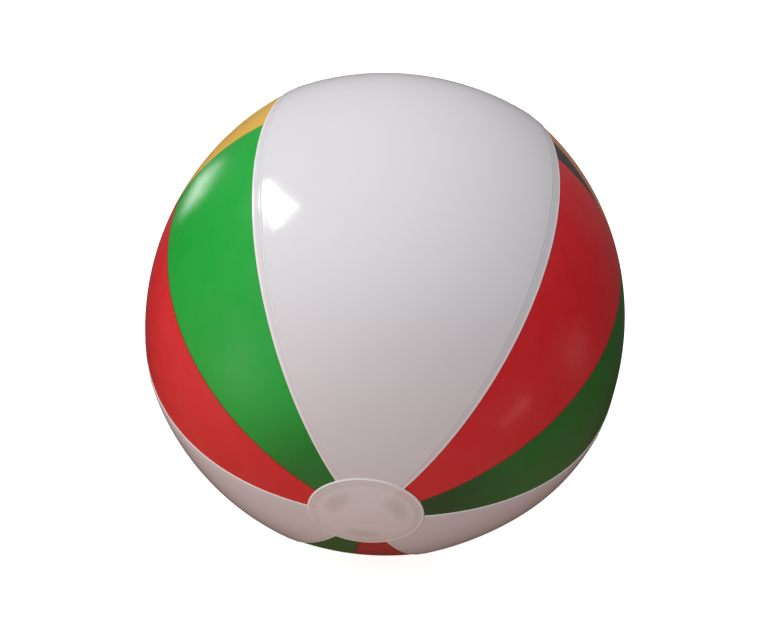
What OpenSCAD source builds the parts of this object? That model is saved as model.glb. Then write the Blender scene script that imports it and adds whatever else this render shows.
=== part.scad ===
// Inflatable beach ball: six welded vinyl panels, two end discs and a push-in valve.
// The pole axis lies along Y. The plain end disc is at -Y and the valve at +Y.
// The origin is the ball's centre, and one white panel faces straight up, along +Z.

/* [Ball] */
// Diameter of the inflated ball at its equator, over the white panels
ball_d = 280; // [220:5:360]
// How far the poles stand out, as a share of the radius
pole_rise = 0.013; // [-0.02:0.001:0.02]
// How far the shoulders, half way to each pole, stand out, as a share of the radius
shoulder = 0.015; // [0:0.001:0.04]

/* [Film and welds] */
// Thickness of the panels' vinyl film
film_t = 0.3; // [0.2:0.05:0.6]
// Width of the weld, at the equator, where a white panel laps over a printed one
weld_w = 5; // [3:0.5:8]
// Space between two films that are welded together
weld_gap = 0.02; // [0.01:0.01:0.05]

/* [End discs] */
// Diameter of the discs that close the two poles
disc_d = 56; // [46:1:80]
// Thickness of an end disc
disc_t = 0.4; // [0.3:0.05:0.8]
// Diameter of the circle where the tips of the panels stop, under each disc
tip_d = 27; // [22:1:40]

/* [Valve] */
// Diameter of the opening that the valve moves through
port_d = 16; // [14:0.5:19.5]
// Thickness of the flange that is welded inside the valve's end disc
flange_t = 0.8; // [0.5:0.1:1.5]
// Thickness of the soft skirt between the flange and the stem
skirt_t = 0.4; // [0.3:0.05:0.6]
// Depth of the skirt when the valve is pushed in
skirt_depth = 8; // [6:0.5:10]
// Diameter of the bore that takes a pump's nozzle
nozzle_d = 6; // [5:0.25:7.25]
// Wall of the stem round that bore
stem_wall = 1.5; // [1:0.1:1.8]
// Length of the stem below the ball's surface
stem_len = 16; // [13:0.5:20]
// Height of the collar round the stem's mouth
collar_h = 1; // [0.8:0.1:1.5]

/* [Plug] */
// Length of the plug's shank
shank_len = 4; // [3:0.25:5]
// Thickness of the plug's head
head_t = 1.2; // [0.8:0.1:2]
// Width of the strap and of the pull tab
strap_w = 3; // [2:0.25:4]
// Thickness of the strap
strap_t = 0.5; // [0.3:0.05:0.6]

/* [Hidden] */
$fn = 96;

// Three white panels alternate with three printed ones.
panel_angle = 360 / 6;
white_at = [90, 210, 330];
printed_at = [30, 150, 270];
panel_steps = 40;
disc_steps = 8;

// The layers lie on each other: printed film, white film over it, disc over both.
layer = film_t + weld_gap;
base_r = ball_d / 2 - film_t - layer;
printed_lift = 0;
white_lift = layer;
disc_lift = 2 * layer;
weld_angle = weld_w / (ball_d / 2) * 180 / PI;

// Angles from the pole axis at which the tips and the discs end
pole_r = base_r * (1 + pole_rise);
function angle_at(radius) = asin(radius / pole_r);
tip_angle = angle_at(tip_d / 2);
disc_angle = angle_at(disc_d / 2);

// Valve: heights are along the pole axis, from the outer face of the valve's end disc
valve_base = pole_r + disc_lift + disc_t;
port_r = port_d / 2;
disc_hole_clear = 0.5;
flange_clear = 0.5;
flange_r = tip_d / 2 - flange_clear;
flange_lift = disc_lift - weld_gap - flange_t;
stem_clear = 0.1;
nozzle_r = nozzle_d / 2;
stem_r = nozzle_r + stem_wall;
collar_clear = 1.8;
collar_r = port_r - collar_clear;
ring_r = stem_r + 0.6;
ring_h = 1;

// The skirt hangs from the middle of the flange's inner edge, and turns inside out
skirt_top = valve_height(port_r, flange_lift + flange_t / 2);
skirt_foot = skirt_top - skirt_depth;

// Plug: its shank narrows so that it swings out of its seat past the far wall
seat_step = 0.4;
seat_r = nozzle_r + seat_step;
plug_clear = 0.08;
head_gap = 0.1;
seat_floor_clear = 0.3;
seat_depth = shank_len + head_gap + seat_floor_clear;
head_inset = 0.6;
head_r = collar_r - head_inset;
hinge_out = collar_r + 1;
tab_len = 2.6;
tab_t = 0.8;

// Check flap: it hangs from its upper edge against the inner end of the stem
flap_inset = 0.3;
flap_r = stem_r - flap_inset;
flap_t = 0.6;
flap_gap = 0.1;

// Radius of the ball's inner skin at an angle from the pole axis
function ball_r(a) =
    base_r * (1 + shoulder * pow(sin(2 * a), 2) + pole_rise * pow(cos(a), 2));

// Point of the skin's outline, raised by lift: [distance from the axis, height]
function skin_point(a, lift) = (ball_r(a) + lift) * [sin(a), cos(a)];

// Height of the skin above the valve's base at a distance from the axis
function valve_height(radius, lift) =
    skin_point(angle_at(radius), lift)[1] - valve_base;

// Radius of the shank at a depth below the plug's head. The hinge line is level with the
// mouth of the seat, hinge_out from the axis, and the far wall is seat_r beyond the axis.
function shank_r(depth) =
    sqrt(pow(hinge_out + seat_r, 2) - pow(depth, 2)) - hinge_out - plug_clear;

// Turns a shape whose pole axis is Z so that its top faces the plain disc, at -Y
module pole_frame() {
    rotate([90, 0, 0]) children();
}

// Places a shape whose axis is Z on the valve, with its top facing out along +Y
module valve_frame() {
    translate([0, valve_base, 0]) rotate([-90, 0, 0]) children();
}

// Shell of the ball's skin between two angles from the pole axis, swept round it
module skin(from, to, lift, thickness, steps, sweep = 360) {
    angles = [for (i = [0:steps]) from + (to - from) * i / steps];
    outer = [for (a = angles) skin_point(a, lift + thickness)];
    inner = [for (i = [steps:-1:0]) skin_point(angles[i], lift)];
    rotate([0, 0, -sweep / 2])
        rotate_extrude(angle = sweep)
            polygon(concat(outer, inner));
}

// One panel from tip to tip, centred at an angle round the pole axis
module panel(at, lift, extra_angle) {
    sweep = panel_angle + 2 * extra_angle;
    pole_frame()
        rotate([0, 0, at])
            skin(tip_angle, 180 - tip_angle, lift, film_t, panel_steps, sweep);
}

// White panel: it laps over its printed neighbours by the width of the weld
module white_panel(i) {
    color("ghostwhite") panel(white_at[i], white_lift, weld_angle);
}

// Printed panel: its edges end at the seams, under the white film
module printed_panel(i) {
    color("crimson") panel(printed_at[i], printed_lift, 0);
}

module plain_end_disc() {
    color("gainsboro")
        pole_frame()
            skin(0, disc_angle, disc_lift, disc_t, disc_steps);
}

module valve_end_disc() {
    hole_angle = angle_at(port_r + disc_hole_clear);
    color("gainsboro")
        rotate([-90, 0, 0])
            skin(hole_angle, disc_angle, disc_lift, disc_t, disc_steps);
}

// Flange: a ring welded to the inner face of the disc, inside the circle of the tips
module valve_flange() {
    color("whitesmoke")
        rotate([-90, 0, 0])
            skin(angle_at(port_r), angle_at(flange_r), flange_lift, flange_t, disc_steps);
}

// Skirt: a thin cone from the flange down to the ring on the stem
module valve_skirt() {
    top_r = port_r - weld_gap;
    foot_r = stem_r + stem_clear;
    half = skirt_t / 2;
    color("white")
        valve_frame()
            rotate_extrude()
                polygon([
                    [foot_r, skirt_foot - half], [foot_r + skirt_t, skirt_foot - half],
                    [top_r, skirt_top - half], [top_r, skirt_top + half],
                    [top_r - skirt_t, skirt_top + half], [foot_r, skirt_foot + half],
                ]);
}

// Stem: a tube with a collar at its mouth, a ring under the skirt, and the plug's seat
module valve_stem() {
    ring_top = skirt_foot - skirt_t / 2 - weld_gap;
    seat_floor = collar_h - seat_depth;
    color("whitesmoke")
        valve_frame()
            rotate_extrude()
                polygon([
                    [nozzle_r, -stem_len], [stem_r, -stem_len],
                    [stem_r, ring_top - ring_h], [ring_r, ring_top - ring_h],
                    [ring_r, ring_top], [stem_r, ring_top],
                    [stem_r, 0], [collar_r, 0],
                    [collar_r, collar_h], [seat_r, collar_h],
                    [seat_r, seat_floor], [nozzle_r, seat_floor],
                ]);
}

// Check flap: the disc that the air inside presses against the end of the stem
module check_flap() {
    color("silver")
        valve_frame()
            translate([0, 0, -stem_len - flap_gap - flap_t])
                cylinder(r = flap_r, h = flap_t);
}

// Plug: head, pull tab and the shank that fills the seat
module valve_plug() {
    foot = collar_h + head_gap;
    depths = [for (i = [0:8]) shank_len * i / 8];
    shank = [for (d = depths) [shank_r(d), foot - d]];
    tab_reach = head_r + tab_len - strap_w / 2;
    color("white")
        valve_frame() {
            rotate_extrude()
                polygon(concat(
                    [[0, foot + head_t], [head_r, foot + head_t], [head_r, foot]],
                    shank,
                    [[0, foot - shank_len]]
                ));
            translate([-strap_w / 2, -tab_reach, foot])
                cube([strap_w, tab_reach, tab_t]);
            translate([0, -tab_reach, foot])
                cylinder(d = strap_w, h = tab_t);
        }
}

// Strap: a soft loop from the collar's edge, round the hinge line, to the plug's head
module plug_strap() {
    low = collar_h / 2;
    high = collar_h + head_gap + head_t / 2;
    middle = (low + high) / 2;
    bend = (high - low) / 2;
    outer_r = bend + strap_t / 2;
    inner_r = bend - strap_t / 2;
    turns = [for (i = [0:12]) -90 + 15 * i];
    outer = [for (a = turns) [hinge_out + outer_r * cos(a), middle + outer_r * sin(a)]];
    inner = [for (a = turns) [hinge_out + inner_r * cos(-a), middle + inner_r * sin(-a)]];
    collar_edge = collar_r + weld_gap;
    head_edge = head_r + weld_gap;
    color("white")
        valve_frame()
            rotate([90, 0, 90])
                linear_extrude(strap_w, center = true)
                    polygon(concat(
                        [[collar_edge, low - strap_t / 2]],
                        outer,
                        [[head_edge, high + strap_t / 2], [head_edge, high - strap_t / 2]],
                        inner,
                        [[collar_edge, low + strap_t / 2]]
                    ));
}

white_panel(0);  // white_panel_1
white_panel(1);  // white_panel_2
white_panel(2);  // white_panel_3
printed_panel(0);  // printed_panel_1
printed_panel(1);  // printed_panel_2
printed_panel(2);  // printed_panel_3
plain_end_disc();
valve_end_disc();
valve_flange();
valve_skirt();
valve_stem();
check_flap();
valve_plug();
plug_strap();
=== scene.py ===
"""Inflatable beach ball: the looks of its vinyl panels, end discs and push-in air valve."""

import math

import bpy
import numpy as np
from bpy.props import FloatProperty, FloatVectorProperty, IntProperty, PointerProperty
from bpy.types import Operator, Panel, PropertyGroup
from mathutils import Matrix, Vector


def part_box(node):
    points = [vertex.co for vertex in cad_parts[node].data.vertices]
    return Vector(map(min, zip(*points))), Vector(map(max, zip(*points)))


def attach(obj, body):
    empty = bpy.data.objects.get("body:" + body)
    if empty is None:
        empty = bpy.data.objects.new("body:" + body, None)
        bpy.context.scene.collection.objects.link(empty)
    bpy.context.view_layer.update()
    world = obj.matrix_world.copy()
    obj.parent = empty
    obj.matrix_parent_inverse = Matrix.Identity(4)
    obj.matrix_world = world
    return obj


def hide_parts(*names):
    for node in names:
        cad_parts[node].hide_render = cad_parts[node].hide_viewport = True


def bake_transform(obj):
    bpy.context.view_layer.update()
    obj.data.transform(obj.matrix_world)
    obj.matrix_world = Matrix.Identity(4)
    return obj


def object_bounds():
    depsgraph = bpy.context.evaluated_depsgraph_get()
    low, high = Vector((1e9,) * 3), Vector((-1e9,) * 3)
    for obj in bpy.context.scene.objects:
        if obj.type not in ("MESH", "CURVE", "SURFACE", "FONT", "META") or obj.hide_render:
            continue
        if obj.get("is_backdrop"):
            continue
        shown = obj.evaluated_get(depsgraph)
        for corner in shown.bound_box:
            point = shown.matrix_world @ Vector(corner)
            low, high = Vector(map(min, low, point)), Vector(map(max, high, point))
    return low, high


bl_info = {
    "name": "Inflatable Beach Ball",
    "version": (1, 0, 0),
    "blender": (4, 5, 0),
    "location": "3D View > Sidebar > Beach Ball",
    "description": "Makes the panels, end discs, valve and studio of an inflatable beach ball",
    "category": "Add Mesh",
}

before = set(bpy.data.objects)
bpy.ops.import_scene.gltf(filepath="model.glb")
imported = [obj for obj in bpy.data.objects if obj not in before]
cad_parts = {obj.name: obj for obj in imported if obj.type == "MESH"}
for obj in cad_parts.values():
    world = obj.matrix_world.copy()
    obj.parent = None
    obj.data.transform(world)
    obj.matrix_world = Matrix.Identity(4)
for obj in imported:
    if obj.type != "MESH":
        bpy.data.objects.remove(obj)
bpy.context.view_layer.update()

MM = 0.001
SEAMS = 6
HALF_PANEL = math.pi / SEAMS
WHITE_CENTRES = (90, 210, 330)
PRINTED_CENTRES = (30, 150, 270)
# The seam that was welded a little off its even place
LOOSE_SEAM = 3
# Middle of the soft bulge on the third white panel, in degrees: from the plain pole, and round it
BULGE_AT = (50, 345)
# Painted shade on each printed panel, as how far its inks are darkened: green and orange first, then red
PAINTED_PANEL_SHADE = ((0.60, 0.0), (0.0, 0.0), (0.30, 0.36))


# ---------------------------------------------------------------- sizes from the frame

def top_of(node):
    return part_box(node)[1]


def bottom_of(node):
    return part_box(node)[0]


EQUATOR = top_of("white_panel_1").z
DISC_RADIUS = top_of("plain_end_disc").x
PLAIN_POLE = -bottom_of("plain_end_disc").y
COLLAR_RADIUS = top_of("valve_stem").x
COLLAR_HEIGHT = 1 * MM
VALVE_BASE = top_of("valve_stem").y - COLLAR_HEIGHT
PORT_RADIUS = top_of("valve_skirt").x
FLANGE_RADIUS = top_of("valve_flange").x
STEM_FOOT = bottom_of("valve_stem").y - VALVE_BASE
SKIRT_TOP = top_of("valve_skirt").y - VALVE_BASE
SKIRT_FOOT = bottom_of("valve_skirt").y - VALVE_BASE
PLUG_TOP = top_of("valve_plug").y - VALVE_BASE
PLUG_FOOT = bottom_of("valve_plug").y - VALVE_BASE
PLUG_RADIUS = -bottom_of("valve_plug").z
TAB_END = top_of("valve_plug").z
FLAP_RADIUS = top_of("check_flap").x
FLAP_TOP = top_of("check_flap").y - VALVE_BASE
FLAP_FOOT = bottom_of("check_flap").y - VALVE_BASE
STRAP_OUT = -bottom_of("plug_strap").z

# Sizes inside the valve that the frame's boxes don't show, in millimetres
NOZZLE_RADIUS = 3.0
SEAT_RADIUS = 3.4
STEM_RADIUS = 4.5
RING_RADIUS = 5.1
RING_HEIGHT = 1.0
STRAP_HALF_WIDTH = 1.5
STRAP_HALF_THICKNESS = 0.25
STRAP_LOW = 0.5
STRAP_HIGH = 1.7


# ---------------------------------------------------------------- properties

def length(name, description, default):
    return FloatProperty(
        name=name, description=description, default=default, unit="LENGTH", precision=5
    )


def share(name, description, default):
    return FloatProperty(name=name, description=description, default=default, min=0, max=1)


def power(name, description, default):
    return FloatProperty(name=name, description=description, default=default, unit="POWER")


def colour(name, description, default):
    return FloatVectorProperty(
        name=name, description=description, default=default, subtype="COLOR", size=3, min=0, max=1
    )


class BallSizes(PropertyGroup):
    film: length("Film", "Thickness of the panels' vinyl film", 0.3 * MM)
    weld_gap: length("Weld gap", "Space between two welded films", 0.02 * MM)
    weld: length("Weld", "Width at the equator of the lap where two panels are welded", 5 * MM)
    disc_film: length("Disc film", "Thickness of an end disc", 0.4 * MM)
    tip: length("Tip circle", "Radius at which the tips of the panels stop under a disc", 13.5 * MM)
    pole_rise: share("Pole rise", "How far the poles stand out, as a share of the radius", 0.013)
    shoulder: share("Shoulder", "How far the ball bulges half way to each pole", 0.015)
    seam_ridge: share("Seam ridge", "How far the seams stand out and the panels' middles lie in", 0.0087)
    white_low: share("White low", "How far the white panels lie in and the printed ones out", 0.0057)
    out_of_round: share("Out of round", "How far the ball is drawn out across its equator", 0.0102)
    print_shift: FloatProperty(
        name="Print shift", description="Angle from a printed panel's middle to its dividing line",
        default=math.radians(0.85), unit="ROTATION",
    )
    loose: FloatProperty(
        name="Loose seam", description="How far one seam lies off its even place",
        default=math.radians(2), unit="ROTATION",
    )
    loose_at_pole: FloatProperty(
        name="Loose at pole", description="How much further off that seam is at the plain pole",
        default=math.radians(3), unit="ROTATION",
    )
    bulge: length("Bulge", "Height of the soft bulge on one white panel", 2 * MM)
    bulge_width: length("Bulge width", "Distance over which that bulge falls away", 45 * MM)
    pucker: length("Pucker", "Height of the small creases beside the seams", 0.05 * MM)
    rows: IntProperty(name="Rows", description="Rows of faces from tip to tip", default=220, min=40)


class BallColours(PropertyGroup):
    white: colour("White vinyl", "Plain film", (0.80, 0.80, 0.85))
    red: colour("Red ink", "Print on one side of each printed panel", (0.75, 0.020, 0.029))
    green: colour("Green ink", "Print on the other side", (0.003, 0.43, 0.042))
    orange: colour("Orange ink", "Print beyond the equator", (0.85, 0.51, 0.060))
    black: colour("Black ink", "Wedge beyond the red", (0.022, 0.014, 0.013))
    frosted: colour("Frosted vinyl", "End discs", (0.86, 0.85, 0.88))
    clear: colour("Milky vinyl", "Valve, plug and strap", (0.78, 0.79, 0.82))


class StudioSettings(PropertyGroup):
    key: power("Key light", "Power of the window-like light", 6.1)
    side: power("Side light", "Power of the low window", 0.8)
    strip: power("Right light", "Power of the narrow light", 0.42)
    sky: FloatProperty(name="Surroundings", description="Strength of the studio's walls", default=1.0)
    focal: FloatProperty(
        name="Focal length", description="Lens, in millimetres", default=34.94
    )
    reach: FloatProperty(
        name="Reach", description="Camera's distance from the ball's centre", default=0.4615, unit="LENGTH"
    )


# ---------------------------------------------------------------- meshes

def grid_quads(rows, columns, around=False):
    """Quads of a grid of points: each joins a point, its right neighbour and the two below.
    With around, the last column joins the first."""
    index = np.arange(rows * columns).reshape(rows, columns)
    right = np.roll(index, -1, axis=1)
    quads = np.stack([index[:-1], right[:-1], right[1:], index[1:]], axis=-1)
    if not around:
        quads = quads[:, :-1]
    return quads.reshape(-1, 4)


def signed_volume(points, faces):
    """A sixth of the sum, over the faces' triangles, of the first corner dotted with the
    cross product of the other two. It is positive when the faces point outwards."""
    triangles = [faces[:, [0, 1, 2]]]
    if faces.shape[1] == 4:
        triangles.append(faces[:, [0, 2, 3]])
    corners = points[np.concatenate(triangles)]
    return np.einsum("ij,ij->i", corners[:, 0], np.cross(corners[:, 1], corners[:, 2])).sum() / 6


def new_piece(name, points, face_sets, material, uv=None, attributes=None, sharp=40):
    """A mesh object from points and arrays of faces, turned to face outwards, with an optional
    UV and float attributes given for each point."""
    volume = sum(signed_volume(points, faces) for faces in face_sets)
    if volume < 0:
        face_sets = [faces[:, ::-1] for faces in face_sets]
    mesh = bpy.data.meshes.new(name)
    mesh.from_pydata(points.tolist(), [], [face for faces in face_sets for face in faces.tolist()])
    mesh.update()
    if uv is not None:
        layer = mesh.uv_layers.new(name="surface")
        corner_points = np.empty(len(mesh.loops), dtype=np.int32)
        mesh.loops.foreach_get("vertex_index", corner_points)
        layer.data.foreach_set("uv", uv[corner_points].astype(np.float32).ravel())
    for key, values in (attributes or {}).items():
        attribute = mesh.attributes.new(key, "FLOAT", "POINT")
        attribute.data.foreach_set("value", values.astype(np.float32).ravel())
    mesh.polygons.foreach_set("use_smooth", np.ones(len(mesh.polygons), dtype=bool))
    mesh.set_sharp_from_angle(angle=math.radians(sharp))
    mesh.materials.append(material)
    piece = bpy.data.objects.new(name, mesh)
    bpy.context.scene.collection.objects.link(piece)
    return piece


def closed_sheet(outer, inner):
    """Points and faces of a film: an outer and an inner grid, joined round their edges."""
    rows, columns = outer.shape[:2]
    count = rows * columns
    front = grid_quads(rows, columns)
    back = front[:, ::-1] + count
    index = np.arange(count).reshape(rows, columns)
    rim = np.concatenate([index[0, :-1], index[:-1, -1], index[-1, :0:-1], index[:0:-1, 0]])
    following = np.roll(rim, -1)
    edge = np.stack([following, rim, rim + count, following + count], axis=-1)
    points = np.concatenate([outer.reshape(-1, 3), inner.reshape(-1, 3)])
    return points, [front, back, edge]


def round_solid(rings, closed):
    """Points and faces of rings round an axis, given as an array of rings by points by 3.
    A closed solid's last ring joins its first, and an open one's end rings shrink to a point."""
    count, around = rings.shape[:2]
    if closed:
        looped = np.concatenate([rings, rings[:1]])
        quads = grid_quads(count + 1, around, around=True) % (count * around)
        return looped[:-1].reshape(-1, 3), [quads]
    body = rings[1:-1]
    points = np.concatenate([body.reshape(-1, 3), rings[:1, 0], rings[-1:, 0]])
    quads = grid_quads(count - 2, around, around=True)
    first = np.arange(around)
    last = first + (count - 3) * around
    start, end = (count - 2) * around, (count - 2) * around + 1
    start_fan = np.stack([np.roll(first, -1), first, np.full(around, start)], axis=-1)
    end_fan = np.stack([last, np.roll(last, -1), np.full(around, end)], axis=-1)
    return points, [quads, start_fan, end_fan]


def smooth_step(x, low, high):
    """Zero below low and one above high, with a smooth S between them."""
    t = np.clip((x - low) / (high - low), 0, 1)
    return t * t * (3 - 2 * t)


def bell(x, centre, width):
    """A bell curve of height one."""
    return np.exp(-(((x - centre) / width) ** 2))


# ---------------------------------------------------------------- the ball's skin

def seam_distance(azimuth):
    """Angle round the pole axis from the nearest seam, and that seam's number."""
    number = np.round(azimuth / (2 * HALF_PANEL))
    return np.abs(azimuth - number * 2 * HALF_PANEL), number


def bulge_height(theta, azimuth, sizes):
    """A soft bulge of the blown-up film: a bell curve of the straight distance from its
    middle."""
    from_pole, around = (math.radians(angle) for angle in BULGE_AT)
    cosine = np.cos(theta) * math.cos(from_pole)
    cosine = cosine + np.sin(theta) * math.sin(from_pole) * np.cos(azimuth - around)
    distance = EQUATOR * np.sqrt(np.maximum(0, 2 - 2 * cosine))
    return sizes.bulge * bell(distance, 0, sizes.bulge_width)


def skin_radius(theta, azimuth):
    """Distance from the centre to the inner skin, at an angle from the plain pole and an
    azimuth round the pole axis: a profile that stands out a little at the poles and half way
    to them, times a shallow arch over each panel. The arches meet in blunt ridges and lie
    lower on the white panels. The ball is slightly out of round. Short creases fade out
    beside the seams, and the film is a little uneven."""
    sizes = bpy.context.scene.beach_ball_sizes
    profile = 1 + sizes.shoulder * np.sin(2 * theta) ** 2 + sizes.pole_rise * np.cos(theta) ** 2
    from_seam, number = seam_distance(azimuth)
    blunt = np.hypot(from_seam, 4 * MM / EQUATOR)
    arch = sizes.seam_ridge * (2 * (1 - blunt / HALF_PANEL) ** 2 - 1)
    lobes = sizes.white_low * np.sin(3 * azimuth) + sizes.out_of_round * np.sin(2 * azimuth)
    base = EQUATOR - 2 * sizes.film - sizes.weld_gap
    along = theta * EQUATOR
    fade = np.exp(-from_seam * np.sin(theta) * EQUATOR / (7 * MM))
    phase = 2 * np.pi * along / (13 * MM) + 2.2 * np.sin(5 * theta + 1.7 * number) + 2.4 * number
    creases = sizes.pucker * fade * np.sin(phase) * np.sin(theta)
    uneven = 0.10 * MM * np.sin(theta) * (
        np.sin(2 * azimuth + 1.3 + 2.1 * np.cos(theta)) * np.sin(3 * theta + 0.4)
        + 0.6 * np.sin(5 * azimuth + 0.5 + 3.0 * np.cos(2 * theta))
    )
    shape = base * profile * (1 + (arch + lobes) * np.sin(theta) ** 2)
    return shape + bulge_height(theta, azimuth, sizes) + creases + uneven


def drift(theta, azimuth):
    """Angle by which a point lies off its even place round the axis, because one seam was
    not welded quite evenly. It is greatest at that seam and zero at the others: a sum of
    cosines of the angle from that seam."""
    sizes = bpy.context.scene.beach_ball_sizes
    x = azimuth - LOOSE_SEAM * 2 * HALF_PANEL
    near = (1 + 2 * np.cos(x) + 2 * np.cos(2 * x) + np.cos(3 * x)) / SEAMS
    return near * (sizes.loose + sizes.loose_at_pole * np.cos(theta))


def skin_points(theta, azimuth, height):
    """Points over the inner skin by a height, turned so that the pole axis lies along Y."""
    radius = skin_radius(theta, azimuth) + height
    ground = radius * np.sin(theta)
    turn = azimuth + drift(theta, azimuth)
    return np.stack(
        [ground * np.cos(turn), -radius * np.cos(theta), ground * np.sin(turn)], axis=-1
    )


def angle_of(radius):
    """Angle from the pole at which the skin is a given distance from the pole axis."""
    return math.asin(radius / PLAIN_POLE)


def weld_width(theta):
    """The lap narrows towards the tips, with the square root of the circle it lies on."""
    return bpy.context.scene.beach_ball_sizes.weld * np.sqrt(np.sin(theta))


def crowded(count, power):
    """Numbers from 0 to 1 that crowd towards 1."""
    return 1 - np.linspace(1, 0, count) ** power


# ---------------------------------------------------------------- panels

def white_relief(past_seam, lap, sizes):
    """Height of the white film's face: a bead where the weld starts, the pressed weld itself,
    a fine line in it, and the thick lip along the film's own edge."""
    pressed = -0.04 * MM * smooth_step(past_seam, -0.2 * MM, 0.7 * MM)
    start = 0.05 * MM * bell(past_seam, -0.35 * MM, 0.40 * MM)
    groove = -0.05 * MM * bell(past_seam, 0.30 * MM, 0.30 * MM)
    lip = 0.07 * MM * bell(past_seam, lap - 0.55 * MM, 0.40 * MM)
    turn = -0.22 * MM * bell(past_seam, lap, 0.14 * MM)
    return sizes.film + pressed + start + groove + lip + turn


def white_panel(number, material):
    """A gore from tip to tip whose sides pass the seams by the width of the weld."""
    sizes = bpy.context.scene.beach_ball_sizes
    centre = math.radians(WHITE_CENTRES[number])
    tip = angle_of(sizes.tip)
    theta = np.linspace(tip, math.pi - tip, sizes.rows)[:, None]
    across = crowded(26, 2.2)
    lap_share = np.concatenate([np.linspace(0, 0.8, 11)[1:], 1 - 0.2 * (1 - crowded(9, 1.6)[1:])])
    half = np.concatenate([across, np.ones(len(lap_share))])
    lapped = np.concatenate([np.zeros(len(across)), lap_share])
    half = np.concatenate([-half[:0:-1], half])[None, :]
    lapped = np.concatenate([lapped[:0:-1], lapped])[None, :]
    ground = skin_radius(theta, centre + 0 * theta) * np.sin(theta)
    width = weld_width(theta)
    offset = half * HALF_PANEL + np.sign(half) * lapped * width / ground
    azimuth = centre + offset
    past_seam = (np.abs(offset) - HALF_PANEL) * ground
    layer = sizes.film + sizes.weld_gap
    theta = theta + 0 * azimuth
    outer = skin_points(theta, azimuth, layer + white_relief(past_seam, width, sizes))
    inner = skin_points(theta, azimuth, layer + 0 * azimuth)
    points, faces = closed_sheet(outer, inner)
    uv = np.stack([offset * ground, (theta - math.pi / 2) * EQUATOR], axis=-1).reshape(-1, 2)
    name = f"white_panel_{number + 1}"
    piece = new_piece(
        name + "_film", points, faces, material,
        uv=np.concatenate([uv, uv]),
        attributes={
            "past_seam": np.tile(past_seam.ravel(), 2),
            "from_edge": np.tile((width - past_seam).ravel(), 2),
        },
    )
    finish_piece(piece, "ball", "white_vinyl", name)


def printed_panel(number, material):
    """A gore from tip to tip whose sides end at the seams, under the white film."""
    sizes = bpy.context.scene.beach_ball_sizes
    centre = math.radians(PRINTED_CENTRES[number])
    tip = angle_of(sizes.tip)
    theta = np.linspace(tip, math.pi - tip, sizes.rows)[:, None]
    half = crowded(34, 1.6)
    half = np.concatenate([-half[:0:-1], half])[None, :]
    offset = half * HALF_PANEL + 0 * theta
    azimuth = centre + offset
    ground = skin_radius(theta, centre + 0 * theta) * np.sin(theta)
    from_lap = (HALF_PANEL - np.abs(offset)) * ground - weld_width(theta)
    theta = theta + 0 * azimuth
    outer = skin_points(theta, azimuth, sizes.film + 0 * azimuth)
    inner = skin_points(theta, azimuth, 0 * azimuth)
    points, faces = closed_sheet(outer, inner)
    across = (offset + sizes.print_shift) * ground
    uv = np.stack([across, (theta - math.pi / 2) * EQUATOR], axis=-1).reshape(-1, 2)
    # Painted shade: how far this panel's inks are darkened
    painted_shade_green_orange, painted_shade_red = (np.full(len(points), depth) for depth in PAINTED_PANEL_SHADE[number])
    name = f"printed_panel_{number + 1}"
    piece = new_piece(
        name + "_film", points, faces, material,
        uv=np.concatenate([uv, uv]),
        attributes={
            "from_lap": np.tile(from_lap.ravel(), 2),
            "painted_shade_green_orange": painted_shade_green_orange,
            "painted_shade_red": painted_shade_red,
        },
    )
    finish_piece(piece, "ball", "printed_vinyl", name)


def finish_piece(piece, body, slot, *nodes):
    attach(piece, body)
    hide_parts(*nodes)


# ---------------------------------------------------------------- end discs

def disc_relief(radius, azimuth, sizes):
    """Height of a disc's face over the skin: the lip round its edge, the pressed weld inside
    it with fine rings, the step down where the tips of the panels stop, and low humps over
    the laps between the panels."""
    from_seam, _ = seam_distance(azimuth)
    lap_hump = 0.05 * MM * bell(from_seam * radius, 0, 2.2 * MM)
    over_panels = smooth_step(radius, sizes.tip - 4.0 * MM, sizes.tip + 3.0 * MM)
    edge = DISC_RADIUS
    lip = 0.22 * MM * bell(radius, edge - 0.75 * MM, 0.55 * MM)
    turn = -0.24 * MM * bell(radius, edge, 0.16 * MM)
    pressed = -0.05 * MM * smooth_step(radius, edge - 5.2 * MM, edge - 4.4 * MM)
    rings = (
        0.09 * MM * bell(radius, edge - 4.5 * MM, 0.35 * MM)
        + 0.11 * MM * bell(radius, edge - 3.4 * MM, 0.30 * MM)
        + 0.12 * MM * bell(radius, edge - 2.3 * MM, 0.28 * MM)
    )
    under = -0.05 * MM * (1 - over_panels)
    return sizes.disc_film + lip + turn + pressed + rings + under + lap_hump * over_panels


def end_disc(name, material, hole=0.0, far=False):
    """A cap over one pole: its face, its edge and its back, swept round the pole axis. Over
    the far pole, the angle from the pole is taken from the other end of the axis."""
    sizes = bpy.context.scene.beach_ball_sizes
    around = np.linspace(0, 2 * math.pi, 241)[:-1]
    inward = crowded(64, 1.35) * (DISC_RADIUS - hole) + hole
    radius = np.concatenate([inward, inward[::-1]])[:, None] + 0 * around
    azimuth = around[None, :] + 0 * radius
    face = np.concatenate([np.ones(len(inward)), np.zeros(len(inward))])[:, None]
    theta = np.arcsin(radius / PLAIN_POLE)
    theta = math.pi - theta if far else theta
    layer = 2 * (sizes.film + sizes.weld_gap)
    height = layer + face * disc_relief(radius, azimuth, sizes)
    rings = skin_points(theta, azimuth, height)
    points, faces = round_solid(rings, closed=hole > 0)
    piece = new_piece(name + "_film", points, faces, material)
    finish_piece(piece, "ball", "frosted_vinyl", name)


# ---------------------------------------------------------------- valve

def turned(profile, segments=96):
    """Rings of a profile of (radius, height) points turned round the valve's axis."""
    around = np.linspace(0, 2 * math.pi, segments + 1)[:-1]
    radius = profile[:, :1]
    height = profile[:, 1:] + 0 * around
    return np.stack(
        [radius * np.cos(around), VALVE_BASE + height, radius * np.sin(around)], axis=-1
    )


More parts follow.
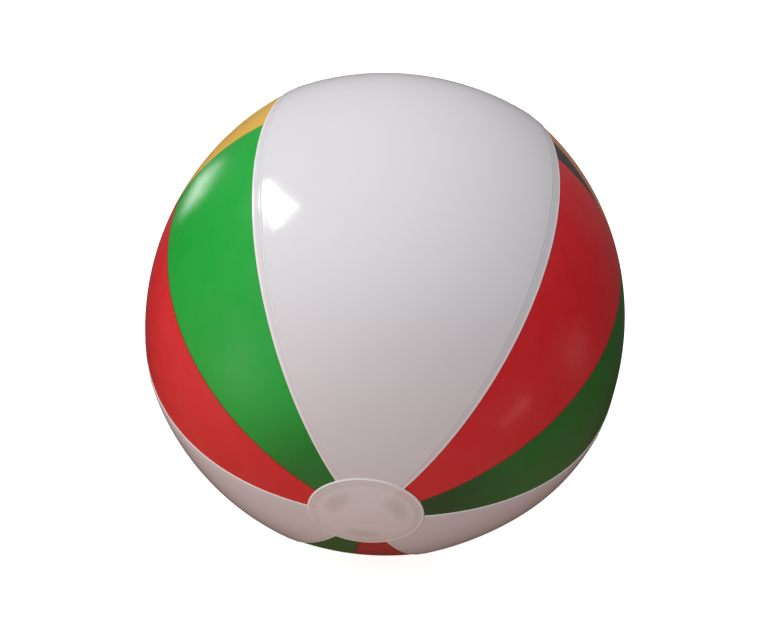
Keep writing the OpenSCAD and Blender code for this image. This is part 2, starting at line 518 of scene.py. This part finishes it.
def rounded(corners, fillet, closed, steps=5):
    """A profile's corners, each replaced by a curve that leaves one side a fillet's length
    before the corner and joins the next side as far after it: a quadratic curve through
    those two points with the corner as its handle."""
    corners = np.asarray(corners, float)
    before = np.roll(corners, 1, axis=0)
    after = np.roll(corners, -1, axis=0)
    to_before = before - corners
    to_after = after - corners
    size_before = np.linalg.norm(to_before, axis=1, keepdims=True)
    size_after = np.linalg.norm(to_after, axis=1, keepdims=True)
    reach = np.minimum(fillet, 0.45 * np.minimum(size_before, size_after))
    start = corners + to_before / size_before * reach
    end = corners + to_after / size_after * reach
    if not closed:
        start[[0, -1]] = corners[[0, -1]]
        end[[0, -1]] = corners[[0, -1]]
    t = np.linspace(0, 1, steps)[None, :, None]
    curve = (1 - t) ** 2 * start[:, None] + 2 * t * (1 - t) * corners[:, None] + t**2 * end[:, None]
    if closed:
        return curve.reshape(-1, 2)
    return np.concatenate([corners[:1], curve[1:-1].reshape(-1, 2), corners[-1:]])


def turned_piece(name, corners, fillet, material, closed, body, node):
    """A profile in millimetres with rounded corners, turned round the valve's axis."""
    profile = rounded(np.array(corners) * MM, fillet * MM, closed)
    points, faces = round_solid(turned(profile), closed)
    piece = new_piece(name, points, faces, material, sharp=50)
    finish_piece(piece, body, "valve_vinyl", node)


def to_mm(value):
    return value / MM


def make_flange(material):
    """A ring under the disc with a rounded inner lip."""
    sizes = bpy.context.scene.beach_ball_sizes
    around = np.linspace(0, 2 * math.pi, 97)[:-1]
    steps = crowded(14, 1.0)
    inner = PORT_RADIUS + sizes.weld_gap
    radius = inner + steps * (FLANGE_RADIUS - inner)
    radius = np.concatenate([radius, radius[::-1]])[:, None] + 0 * around
    azimuth = around[None, :] + 0 * radius
    face = np.concatenate([np.ones(len(steps)), np.zeros(len(steps))])[:, None]
    under_disc = 2 * (sizes.film + sizes.weld_gap) - sizes.weld_gap
    thick = 0.8 * MM
    round_edge = 0.25 * MM * bell(radius, inner, 0.35 * MM)
    height = under_disc - face * round_edge - (1 - face) * (thick - round_edge)
    theta = math.pi - np.arcsin(radius / PLAIN_POLE)
    points, faces = round_solid(skin_points(theta, azimuth, height), closed=True)
    piece = new_piece("valve_flange_ring", points, faces, material)
    finish_piece(piece, "ball", "valve_vinyl", "valve_flange")


def make_skirt(material):
    """A thin cone from the flange's inner edge down to the stem, with a soft bulge near each
    end. It turns inside out as the valve is drawn."""
    top_radius = PORT_RADIUS
    foot_radius = (STEM_RADIUS + 0.12) * MM
    share_down = np.linspace(0, 1, 40)
    eased = share_down * share_down * (3 - 2 * share_down)
    radius = top_radius + (foot_radius - top_radius) * eased
    height = (SKIRT_TOP - 0.25 * MM) + (SKIRT_FOOT - SKIRT_TOP + 0.5 * MM) * share_down
    line = np.stack([radius, height], axis=-1)
    along = np.gradient(line, axis=0)
    side = np.stack([along[:, 1], -along[:, 0]], axis=-1)
    side /= np.linalg.norm(side, axis=1, keepdims=True)
    half = 0.17 * MM
    profile = np.concatenate([line + side * half, (line - side * half)[::-1]])
    points, faces = round_solid(turned(profile), closed=True)
    piece = new_piece("valve_skirt_cone", points, faces, material)
    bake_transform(piece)
    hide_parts("valve_skirt")


def make_stem(material):
    """A tube with a rounded collar, a ring that the skirt is welded to, and a stepped bore."""
    foot = to_mm(STEM_FOOT)
    collar = to_mm(COLLAR_RADIUS)
    ring_top = to_mm(SKIRT_FOOT) - 0.02
    seat_floor = to_mm(PLUG_FOOT) - 0.5
    ring_foot = ring_top - RING_HEIGHT
    mouth = to_mm(COLLAR_HEIGHT)
    corners = [
        (NOZZLE_RADIUS, foot), (STEM_RADIUS, foot), (STEM_RADIUS, ring_foot),
        (RING_RADIUS, ring_foot), (RING_RADIUS, ring_top), (STEM_RADIUS, ring_top),
        (STEM_RADIUS, 0.0), (collar, 0.0), (collar, mouth), (SEAT_RADIUS, mouth),
        (SEAT_RADIUS, seat_floor), (NOZZLE_RADIUS, seat_floor),
    ]
    turned_piece("valve_stem_tube", corners, 0.25, material, True, "stem", "valve_stem")


def make_check_flap(material):
    """A thin disc with a rounded edge and a slight dimple."""
    radius, top, foot = to_mm(FLAP_RADIUS), to_mm(FLAP_TOP), to_mm(FLAP_FOOT)
    corners = [(0, top), (radius, top), (radius, foot), (radius * 0.6, foot), (0, foot + 0.15)]
    turned_piece("check_flap_disc", corners, 0.22, material, False, "flap", "check_flap")


def make_plug(material):
    """The plug's head with a raised rim, and the shank that narrows to its tip."""
    top, foot, radius = to_mm(PLUG_TOP), to_mm(PLUG_FOOT), to_mm(PLUG_RADIUS)
    under = to_mm(COLLAR_HEIGHT) + 0.1
    corners = [
        (0, top - 0.25), (radius * 0.62, top - 0.25), (radius * 0.72, top), (radius, top),
        (radius, under), (3.3, under), (3.22, under - 1.3), (2.9, under - 2.5), (2.4, under - 3.5),
        (1.7, foot), (0, foot),
    ]
    turned_piece("valve_plug_body", corners, 0.3, material, False, "plug", "valve_plug")
    tab = pull_tab(material, under, radius)
    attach(tab, "plug")


def pull_tab(material, under, head_radius):
    """A tongue with a round end and fine grip ribs: its outline is a straight run and half a
    circle, and its faces are copies of the outline drawn in towards the middle. It starts
    inside the head and lies a little over the head's underside."""
    half_width = STRAP_HALF_WIDTH
    inside_head, lift, thickness = 2.2, 0.08, 0.8
    rib_height, rib_pitch = 0.10, 1.1
    reach = to_mm(TAB_END) - half_width
    turn = np.linspace(-math.pi / 2, math.pi / 2, 25)
    end = np.stack([half_width * np.sin(turn), reach + half_width * np.cos(turn)], axis=-1)
    root = head_radius - inside_head
    side_left = np.stack([np.full(12, -half_width), np.linspace(root, reach, 13)[:-1]], axis=-1)
    side_right = np.stack([np.full(12, half_width), np.linspace(reach, root, 13)[1:]], axis=-1)
    outline = np.concatenate([side_left, end, side_right])
    middle = np.array([0, (root + reach) / 2])
    levels = np.array([
        (0.0, 0.0), (0.55, 0.0), (0.88, 0.0), (1.0, 0.12), (1.0, thickness - 0.12),
        (0.88, thickness), (0.55, thickness), (0.0, thickness),
    ])
    rings = []
    for inset, height in levels:
        flat = middle + (outline - middle) * inset
        ribbed = height == thickness and inset > 0
        rib = rib_height * np.sin(flat[:, 1] * 2 * math.pi / rib_pitch) * ribbed
        rings.append(np.stack([flat[:, 0], under + lift + height + rib, flat[:, 1]], axis=-1))
    rings = np.stack(rings) * MM + np.array([0, VALVE_BASE, 0])
    points, faces = round_solid(rings, closed=False)
    return new_piece("pull_tab", points, faces, material)


def make_strap(material):
    """A soft band from the collar, round the hinge line, to the head: a flat oval carried
    along a hairpin."""
    half_thick = STRAP_HALF_THICKNESS
    out = to_mm(STRAP_OUT) - half_thick
    collar_root = to_mm(COLLAR_RADIUS) - 0.25
    head_root = to_mm(PLUG_RADIUS) - 0.25
    low, high = STRAP_LOW, STRAP_HIGH
    bend = (high - low) / 2
    turn = np.linspace(-math.pi / 2, math.pi / 2, 17)
    hairpin = np.stack([out - bend + bend * np.cos(turn), low + bend + bend * np.sin(turn)], axis=-1)
    start = np.stack([np.linspace(collar_root, out - bend, 6)[:-1], np.full(5, low)], axis=-1)
    finish = np.stack([np.linspace(out - bend, head_root, 7)[1:], np.full(6, high)], axis=-1)
    path = np.concatenate([start, hairpin, finish])
    along = np.gradient(path, axis=0)
    along /= np.linalg.norm(along, axis=1, keepdims=True)
    side = np.stack([-along[:, 1], along[:, 0]], axis=-1)
    round_turn = np.linspace(0, 2 * math.pi, 25)[:-1]
    across, through = np.cos(round_turn), np.sin(round_turn)
    flatness = 0.45
    wide = STRAP_HALF_WIDTH * np.sign(across) * np.abs(across) ** flatness
    thick = half_thick * np.sign(through) * np.abs(through) ** flatness
    ring = path[:, None, :] + side[:, None, :] * thick[None, :, None]
    body = np.stack([np.broadcast_to(wide, ring.shape[:2]), ring[..., 1], -ring[..., 0]], axis=-1)
    cap_start = np.broadcast_to(body[0].mean(axis=0), body[:1].shape)
    cap_end = np.broadcast_to(body[-1].mean(axis=0), body[:1].shape)
    rings = np.concatenate([cap_start, body, cap_end]) * MM + np.array([0, VALVE_BASE, 0])
    points, faces = round_solid(rings, closed=False)
    piece = new_piece("plug_strap_band", points, faces, material, sharp=60)
    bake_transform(piece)
    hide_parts("plug_strap")


# ---------------------------------------------------------------- materials

class Shading:
    """A short way to write a material's nodes: each call adds one and returns its output."""

    def __init__(self, name):
        self.material = bpy.data.materials.new(name)
        self.material.use_nodes = True
        self.nodes = self.material.node_tree.nodes
        self.links = self.material.node_tree.links
        self.shader = self.nodes["Principled BSDF"]

    def give(self, socket, value):
        if isinstance(value, bpy.types.NodeSocket):
            self.links.new(value, socket)
        elif value is not None:
            if hasattr(value, "__len__") and len(value) == 3 and socket.type == "RGBA":
                value = (*value, 1)
            socket.default_value = value

    def set(self, **values):
        for key, value in values.items():
            self.give(self.shader.inputs[key.replace("_", " ")], value)

    def math(self, operation, a, b=None, c=None):
        node = self.nodes.new("ShaderNodeMath")
        node.operation = operation
        for socket, value in zip(node.inputs, (a, b, c)):
            self.give(socket, value)
        return node.outputs[0]

    def between(self, value, low, high, to_low=0.0, to_high=1.0):
        """Runs smoothly from to_low to to_high as value goes from low to high."""
        node = self.nodes.new("ShaderNodeMapRange")
        node.interpolation_type = "SMOOTHSTEP"
        for socket, number in zip(node.inputs, (value, low, high, to_low, to_high)):
            self.give(socket, number)
        return node.outputs[0]

    def line(self, value, half, soft):
        """One within half of zero, falling to zero over soft."""
        return self.between(self.math("ABSOLUTE", value), half, half + soft, 1.0, 0.0)

    def mix(self, factor, a, b):
        node = self.nodes.new("ShaderNodeMix")
        node.data_type = "RGBA"
        self.give(node.inputs["Factor"], factor)
        self.give(node.inputs[6], a)
        self.give(node.inputs[7], b)
        return node.outputs[2]

    def attribute(self, name):
        node = self.nodes.new("ShaderNodeAttribute")
        node.attribute_name = name
        return node.outputs["Fac"]

    def surface(self):
        """The piece's own UV map, as across and along, in metres."""
        node = self.nodes.new("ShaderNodeUVMap")
        node.uv_map = "surface"
        parts = self.nodes.new("ShaderNodeSeparateXYZ")
        self.links.new(node.outputs[0], parts.inputs[0])
        return parts.outputs[0], parts.outputs[1]

    def place(self):
        """Object coordinates, whole and as x, y and z."""
        node = self.nodes.new("ShaderNodeTexCoord")
        parts = self.nodes.new("ShaderNodeSeparateXYZ")
        self.links.new(node.outputs["Object"], parts.inputs[0])
        return node.outputs["Object"], parts.outputs[0], parts.outputs[1], parts.outputs[2]

    def noise(self, scale, detail=2.0, roughness=0.5):
        node = self.nodes.new("ShaderNodeTexNoise")
        self.links.new(self.place()[0], node.inputs["Vector"])
        node.inputs["Scale"].default_value = scale
        node.inputs["Detail"].default_value = detail
        node.inputs["Roughness"].default_value = roughness
        return node.outputs["Fac"]

    def bump(self, height, distance):
        node = self.nodes.new("ShaderNodeBump")
        node.inputs["Distance"].default_value = distance
        node.inputs["Strength"].default_value = 1.0
        self.give(node.inputs["Height"], height)
        return node.outputs[0]

    def film_finish(self, low, high, bump=0.00002):
        """Gloss that varies a little over the film, as handling and the rollers leave it."""
        cloudy = self.noise(26, 3.0, 0.6)
        fine = self.noise(950, 2.0, 0.5)
        self.set(Roughness=self.between(cloudy, 0.3, 0.75, low, high))
        self.set(Normal=self.bump(fine, bump))


def shade(colour_value, factor):
    return tuple(channel * factor for channel in colour_value)


def white_vinyl(colours):
    """Plain film: greyer over the lap, where the printed film lies under it. Fine lines of
    painted shade and a painted highlight run along the weld, and a painted highlight along
    the thick lip at its edge."""
    s = Shading("white_film")
    past_seam = s.attribute("past_seam")
    from_edge = s.attribute("from_edge")
    lap = s.between(past_seam, 0.1 * MM, 0.6 * MM)
    base = s.mix(lap, tuple(colours.white), shade(colours.white, 0.97))
    # Painted shade and a painted highlight: two dark lines and a pale one along the weld's fine relief
    for across, strength, tone in ((0.0, 0.30, 0.50), (0.55, 0.60, 0.93), (1.15, 0.30, 0.55)):
        painted_weld_shading = s.line(s.math("SUBTRACT", past_seam, across * MM), 0.12 * MM, 0.25 * MM)
        base = s.mix(s.math("MULTIPLY", painted_weld_shading, strength), base, (tone, tone, tone))
    # Painted highlight along the thick lip at the film's edge
    lip = s.between(from_edge, 0.8 * MM, 1.5 * MM, 1.0, 0.0)
    base = s.mix(s.math("MULTIPLY", lip, 0.9), base, (0.97, 0.96, 0.98))
    drift = s.noise(9, 2.0, 0.5)
    base = s.mix(s.between(drift, 0.35, 0.7, 0.0, 0.06), base, (0.66, 0.64, 0.66))
    s.set(Base_Color=base, IOR=1.53)
    s.film_finish(0.10, 0.16)
    return s.material


def printed_vinyl(colours):
    """Printed film. Across is measured from the panel's middle line and along from the
    equator: red on one side of the middle and green on the other, orange beyond the equator,
    and a black wedge there whose long side runs from the seam down to the equator. Painted
    shade darkens the green towards the plain disc and the inks of some panels more than
    others, and lies in a dark line beside the white film's edge."""
    s = Shading("printed_film")
    across, along = s.surface()
    sharp = 0.12 * MM
    red_side = s.between(across, -sharp, sharp)
    print_edge = 2.4 * MM
    beyond = s.math("SUBTRACT", along, print_edge)
    far = s.between(beyond, -sharp, sharp)
    # Painted shade: the green is darkened towards the plain disc
    painted_shade_near_pole = s.between(along, -186 * MM, -137 * MM, 1.0, 0.0)
    # Painted shade on each panel, darkening its green, orange and red by set amounts
    painted_shade_green_orange, painted_shade_red = s.attribute("painted_shade_green_orange"), s.attribute("painted_shade_red")
    green_in_painted_shade = (0.004, 0.0, 0.004)
    green = s.mix(s.math("MULTIPLY", painted_shade_near_pole, 0.52), tuple(colours.green), green_in_painted_shade)
    green = s.mix(painted_shade_green_orange, green, green_in_painted_shade)
    red = s.mix(painted_shade_red, tuple(colours.red), (0.03, 0.0, 0.0))
    near_ink = s.mix(red_side, green, red)
    wedge_start, wedge_slope = 30 * MM, 0.52
    wedge_line = s.math("MULTIPLY", s.math("SUBTRACT", across, wedge_start), wedge_slope)
    in_wedge = s.between(s.math("SUBTRACT", wedge_line, beyond), -sharp, sharp)
    # Painted shade: the orange is darkened along with the green
    orange = s.mix(painted_shade_green_orange, tuple(colours.orange), (0.68, 0.16, 0.07))
    far_ink = s.mix(in_wedge, orange, tuple(colours.black))
    ink = s.mix(far, near_ink, far_ink)
    density = s.noise(60, 4.0, 0.65)
    ink = s.mix(s.between(density, 0.3, 0.7, 0.0, 0.012), ink, (0.9, 0.9, 0.9))
    middle_line = s.math("MULTIPLY", s.line(across, 0.25 * MM, 0.3 * MM), 0.75)
    middle_line = s.math("MULTIPLY", middle_line, s.math("SUBTRACT", 1.0, far))
    ink = s.mix(middle_line, ink, (0.10, 0.045, 0.012))
    equator_line = s.math("MULTIPLY", s.line(beyond, 0.15 * MM, 0.25 * MM), 0.45)
    ink = s.mix(equator_line, ink, (0.16, 0.11, 0.015))
    from_lap = s.attribute("from_lap")
    # Painted shade: a dark line in the print along the foot of the white film's edge
    pressed = s.between(from_lap, 0.1 * MM, 0.8 * MM, 0.25, 0.0)
    ink = s.mix(pressed, ink, (0.030, 0.018, 0.018))
    s.set(Base_Color=ink, IOR=1.53, Specular_IOR_Level=0.35)
    s.film_finish(0.20, 0.30)
    return s.material


def frosted_vinyl(colours):
    """Milky film over the tips of the panels, whose inks show through faintly, and deeper in
    the pressed weld near the edge. Inside the circle of the tips nothing lies under it.
    A band just past the tips is darker over the printed panels, painted shade lies in the
    grooves between the weld's rings, and a painted highlight lies on the lip at the edge."""
    s = Shading("frosted_film")
    sizes = bpy.context.scene.beach_ball_sizes
    _, x, y, z = s.place()
    far = s.math("GREATER_THAN", y, 0.0)
    radius = s.math("SQRT", s.math("ADD", s.math("MULTIPLY", x, x), s.math("MULTIPLY", z, z)))
    turn = s.math("ARCTAN2", z, x)
    triple = s.math("MULTIPLY", turn, 3.0)
    over_print = s.between(s.math("SINE", triple), -0.06, 0.06)
    red_side = s.between(s.math("COSINE", triple), 0.10, -0.10)
    ink = s.mix(red_side, tuple(colours.green), tuple(colours.red))
    ink = s.mix(far, ink, tuple(colours.orange))
    over_panels = s.between(radius, sizes.tip - 0.8 * MM, sizes.tip + 6 * MM)
    weld = s.between(radius, DISC_RADIUS - 6.0 * MM, DISC_RADIUS - 3.5 * MM, 0.03, 0.09)
    tint = s.math("MULTIPLY", s.math("MULTIPLY", over_print, over_panels), weld)
    base = s.mix(tint, tuple(colours.frosted), ink)
    # Darker in a band just past the tips, over the printed panels
    past_tips = s.line(s.math("SUBTRACT", radius, sizes.tip + 3.5 * MM), 1 * MM, 5 * MM)
    print_middle = s.between(s.math("SINE", triple), -0.6, 1.1)
    darker_band_past_tips = s.math("MULTIPLY", s.math("MULTIPLY", print_middle, past_tips), 0.32)
    base = s.mix(darker_band_past_tips, base, s.mix(far, (0.42, 0.45, 0.40), (0.62, 0.50, 0.38)))
    # Painted shade in the grooves between the weld's fine rings
    for inward in (1.6, 2.85, 3.95):
        painted_weld_shading = s.line(s.math("SUBTRACT", radius, DISC_RADIUS - inward * MM), 0.10 * MM, 0.25 * MM)
        base = s.mix(s.math("MULTIPLY", painted_weld_shading, 0.35), base, (0.50, 0.49, 0.48))
    # Painted highlight on the lip round the disc's edge
    lip = s.between(radius, DISC_RADIUS - 1.4 * MM, DISC_RADIUS - 0.9 * MM)
    base = s.mix(s.math("MULTIPLY", lip, 0.8), base, (0.95, 0.95, 0.96))
    cloud = s.noise(70, 3.0, 0.6)
    base = s.mix(s.between(cloud, 0.35, 0.7, 0.0, 0.10), base, (0.74, 0.72, 0.72))
    s.set(Base_Color=base, IOR=1.5)
    s.film_finish(0.24, 0.38, 0.00003)
    return s.material


def milky_vinyl(colours):
    """Soft moulded vinyl of the valve: it lets a little light in and has a dull gloss."""
    s = Shading("milky_vinyl")
    cloud = s.noise(240, 3.0, 0.6)
    base = s.mix(s.between(cloud, 0.3, 0.7), tuple(colours.clear), shade(colours.clear, 0.9))
    s.set(
        Base_Color=base, IOR=1.5, Subsurface_Weight=0.25, Subsurface_Radius=(1.0, 0.9, 0.8),
        Subsurface_Scale=1.2 * MM,
    )
    s.film_finish(0.26, 0.4, 0.00003)
    return s.material


def material_named(name, make):
    return bpy.data.materials.get(name) or make(bpy.context.scene.beach_ball_colours)


# ---------------------------------------------------------------- operators

class BEACHBALL_OT_white_panels(Operator):
    """Make the three plain white panels, whose edges lap over their neighbours"""

    bl_idname = "beach_ball.white_panels"
    bl_label = "White Panels"

    def execute(self, context):
        material = material_named("white_film", white_vinyl)
        for number in range(len(WHITE_CENTRES)):
            white_panel(number, material)
        return {"FINISHED"}


class BEACHBALL_OT_printed_panels(Operator):
    """Make the three printed panels that lie between the white ones"""

    bl_idname = "beach_ball.printed_panels"
    bl_label = "Printed Panels"

    def execute(self, context):
        material = material_named("printed_film", printed_vinyl)
        for number in range(len(PRINTED_CENTRES)):
            printed_panel(number, material)
        return {"FINISHED"}


class BEACHBALL_OT_end_discs(Operator):
    """Make the plain disc over one pole and the disc with the valve's opening over the other"""

    bl_idname = "beach_ball.end_discs"
    bl_label = "End Discs"

    def execute(self, context):
        material = material_named("frosted_film", frosted_vinyl)
        end_disc("plain_end_disc", material)
        end_disc("valve_end_disc", material, hole=PORT_RADIUS + 0.5 * MM, far=True)
        return {"FINISHED"}


class BEACHBALL_OT_valve(Operator):
    """Make the valve's flange, skirt, stem and check flap"""

    bl_idname = "beach_ball.valve"
    bl_label = "Valve"

    def execute(self, context):
        material = material_named("milky_vinyl", milky_vinyl)
        make_flange(material)
        make_skirt(material)
        make_stem(material)
        make_check_flap(material)
        return {"FINISHED"}


class BEACHBALL_OT_plug(Operator):
    """Make the plug, its pull tab and the strap that holds it"""

    bl_idname = "beach_ball.plug"
    bl_label = "Plug and Strap"

    def execute(self, context):
        material = material_named("milky_vinyl", milky_vinyl)
        make_plug(material)
        make_strap(material)
        return {"FINISHED"}


# ---------------------------------------------------------------- studio

def camera_axes():
    """Right, up and back directions of the camera: it looks down at the ball from the plain
    disc's side and is rolled a little to its left."""
    turn, lift, roll = (math.radians(angle) for angle in (-2.18, 44.38, -8.49))
    level = Vector((math.cos(turn), math.sin(turn), 0))
    back = Vector((math.sin(turn) * math.cos(lift), -math.cos(turn) * math.cos(lift), math.sin(lift)))
    above = back.cross(level)
    right = level * math.cos(roll) - above * math.sin(roll)
    up = above * math.cos(roll) + level * math.sin(roll)
    return right, up, back


def make_camera(settings):
    right, up, back = camera_axes()
    camera = bpy.data.objects.new("camera", bpy.data.cameras.new("camera"))
    camera.data.lens = settings.focal
    camera.data.sensor_width = 36
    camera.data.clip_start = 0.01
    sideways, downwards = 1.15 * MM, 5.07 * MM
    place = back * settings.reach + right * sideways - up * downwards
    turn = Matrix((right, up, back)).transposed().to_4x4()
    camera.matrix_world = Matrix.Translation(place) @ turn
    bpy.context.scene.collection.objects.link(camera)
    bpy.context.scene.camera = camera


def soft_light(name, direction, edge, reach, size, power, tint):
    """A rectangular light that faces the ball from a direction, with its width along edge."""
    data = bpy.data.lights.new(name, "AREA")
    data.shape = "RECTANGLE"
    data.size, data.size_y = size
    data.energy = power
    data.color = tint
    light = bpy.data.objects.new(name, data)
    outward = Vector(direction).normalized()
    along = Vector(edge) - outward * outward.dot(Vector(edge))
    along.normalize()
    turn = Matrix((along, outward.cross(along), outward)).transposed().to_4x4()
    light.matrix_world = Matrix.Translation(outward * reach) @ turn
    bpy.context.scene.collection.objects.link(light)


# Broad glows of the studio's walls: name, direction, tone, and how narrow the glow is
SURROUNDINGS = (
    ("pale ceiling", (0, 0, 1), (1.05, 1.05, 1.05), 3),
    ("wall beside the window", (-1, -0.5, 0.7), (0.7, 0.7, 0.7), 3),
    ("wall in front", (0, -1, 0), (0.3, 0.25, 0.25), 3),
    ("wall behind", (0, 1, 0.3), (0.4, 0.35, 0.35), 3),
    ("warm table, left", (-1, -0.7, -0.7), (0.5, 0.25, 0.15), 3),
    ("warm table, right", (0.8, -0.6, -0.8), (0.35, 0.2, 0.15), 3),
    ("pale patch, left", (-0.85, -0.5, -0.1), (0.8, 0.8, 0.8), 45),
    ("pale patch, right", (1, 0, -0.1), (0.6, 0.5, 0.5), 150),
)


def make_world(settings):
    """Studio walls: the sum of soft glows round the ball. Each falls off with a power of the
    cosine of the angle from its middle, and is zero beyond a right angle."""
    world = bpy.data.worlds.new("studio")
    world.use_nodes = True
    nodes, links = world.node_tree.nodes, world.node_tree.links
    where = nodes.new("ShaderNodeTexCoord")
    total = None
    for name, axis, tone, narrowness in SURROUNDINGS:
        towards = nodes.new("ShaderNodeVectorMath")
        towards.name = name
        towards.operation = "DOT_PRODUCT"
        towards.inputs[1].default_value = Vector(axis).normalized()
        links.new(where.outputs["Generated"], towards.inputs[0])
        ahead = nodes.new("ShaderNodeMath")
        ahead.operation = "MAXIMUM"
        ahead.inputs[1].default_value = 0
        links.new(towards.outputs["Value"], ahead.inputs[0])
        fading = nodes.new("ShaderNodeMath")
        fading.operation = "POWER"
        fading.inputs[1].default_value = narrowness
        links.new(ahead.outputs[0], fading.inputs[0])
        glow = nodes.new("ShaderNodeVectorMath")
        glow.operation = "SCALE"
        glow.inputs[0].default_value = tone
        links.new(fading.outputs[0], glow.inputs["Scale"])
        if total is not None:
            added = nodes.new("ShaderNodeVectorMath")
            added.operation = "ADD"
            links.new(total, added.inputs[0])
            links.new(glow.outputs[0], added.inputs[1])
            glow = added
        total = glow.outputs[0]
    links.new(total, nodes["Background"].inputs["Color"])
    nodes["Background"].inputs["Strength"].default_value = settings.sky
    bpy.context.scene.world = world


def floor_material():
    s = Shading("pale_floor")
    grain = s.noise(40, 3.0, 0.6)
    s.set(Base_Color=s.mix(grain, (0.93, 0.93, 0.93), (0.97, 0.97, 0.97)), Roughness=0.9)
    s.set(Specular_IOR_Level=0.1, Emission_Color=(1, 1, 1), Emission_Strength=0.75)
    return s.material


def stage_piece(name, points, faces, material):
    """A plain mesh that only the camera sees."""
    mesh = bpy.data.meshes.new(name)
    mesh.from_pydata(points.reshape(-1, 3).tolist(), [], faces.tolist())
    mesh.materials.append(material)
    piece = bpy.data.objects.new(name, mesh)
    bpy.context.scene.collection.objects.link(piece)
    piece.visible_diffuse = False
    piece.visible_glossy = False
    piece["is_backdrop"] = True
    return piece


def make_floor():
    """A wide plain floor that touches the ball's lowest point."""
    half, lines = 6.0, 9
    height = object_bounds()[0][2]
    x, y = np.meshgrid(np.linspace(-half, half, lines), np.linspace(-half, half, lines))
    points = np.stack([x, y, np.full_like(x, height)], axis=-1)
    stage_piece("floor", points, grid_quads(lines, lines), floor_material())


def make_walls():
    """A pale dome round the floor: a half circle turned about the upright axis. The light of
    the surroundings passes through it."""
    rows, columns, reach = 24, 48, 5.5
    tilt = np.linspace(-0.2, math.pi / 2, rows)[:, None]
    around = np.linspace(0, 2 * math.pi, columns + 1)[None, :-1]
    across = np.cos(tilt)
    points = reach * np.stack(
        [across * np.cos(around), across * np.sin(around), np.sin(tilt) + 0 * around], axis=-1
    )
    s = Shading("pale_wall")
    s.set(Base_Color=(0.9, 0.9, 0.9), Roughness=0.9)
    s.set(Emission_Color=(1, 1, 1), Emission_Strength=0.9)
    faces = grid_quads(rows, columns, around=True)[:, ::-1]
    walls = stage_piece("walls", points, faces, s.material)
    walls.visible_shadow = False


class BEACHBALL_OT_stage(Operator):
    """Make the camera, the pale floor and the studio's lights"""

    bl_idname = "beach_ball.stage"
    bl_label = "Stage"

    def execute(self, context):
        settings = context.scene.beach_ball_studio
        make_camera(settings)
        make_world(settings)
        make_floor()
        make_walls()
        soft_light(
            "key_window", (-0.71, 0.19, 0.675), (0.104, -0.269, 0.207), 1.5, (0.57, 0.31),
            settings.key, (1, 1, 0.98),
        )
        soft_light(
            "side_window", (-0.72, 0.68, -0.13), (-0.10, -0.13, -0.03), 1.4, (0.24, 0.32),
            settings.side, (1, 1, 1),
        )
        soft_light(
            "right_strip", (0.80, -0.60, -0.14), (0.133, 0.166, 0.116), 1.4, (0.34, 0.08),
            settings.strip, (1, 0.85, 0.85),
        )
        context.scene.view_settings.view_transform = "Standard"
        return {"FINISHED"}


# ---------------------------------------------------------------- panel and registration

class BEACHBALL_PT_sidebar(Panel):
    bl_label = "Beach Ball"
    bl_idname = "BEACHBALL_PT_sidebar"
    bl_space_type = "VIEW_3D"
    bl_region_type = "UI"
    bl_category = "Beach Ball"

    def draw(self, context):
        for settings in ("beach_ball_sizes", "beach_ball_colours", "beach_ball_studio"):
            group = getattr(context.scene, settings)
            box = self.layout.box()
            for key in group.__annotations__:
                box.prop(group, key)
        for operator in OPERATORS:
            self.layout.operator(operator.bl_idname)


GROUPS = {
    "beach_ball_sizes": BallSizes,
    "beach_ball_colours": BallColours,
    "beach_ball_studio": StudioSettings,
}
OPERATORS = (
    BEACHBALL_OT_white_panels,
    BEACHBALL_OT_printed_panels,
    BEACHBALL_OT_end_discs,
    BEACHBALL_OT_valve,
    BEACHBALL_OT_plug,
    BEACHBALL_OT_stage,
)
CLASSES = (*GROUPS.values(), *OPERATORS, BEACHBALL_PT_sidebar)


def register():
    for cls in CLASSES:
        bpy.utils.register_class(cls)
    for name, group in GROUPS.items():
        setattr(bpy.types.Scene, name, PointerProperty(type=group))


def unregister():
    for name in GROUPS:
        delattr(bpy.types.Scene, name)
    for cls in reversed(CLASSES):
        bpy.utils.unregister_class(cls)


def main():
    register()
    bpy.ops.beach_ball.white_panels()
    bpy.ops.beach_ball.printed_panels()
    bpy.ops.beach_ball.end_discs()
    bpy.ops.beach_ball.valve()
    bpy.ops.beach_ball.plug()
    bpy.ops.beach_ball.stage()


if __name__ == "__main__":
    main()
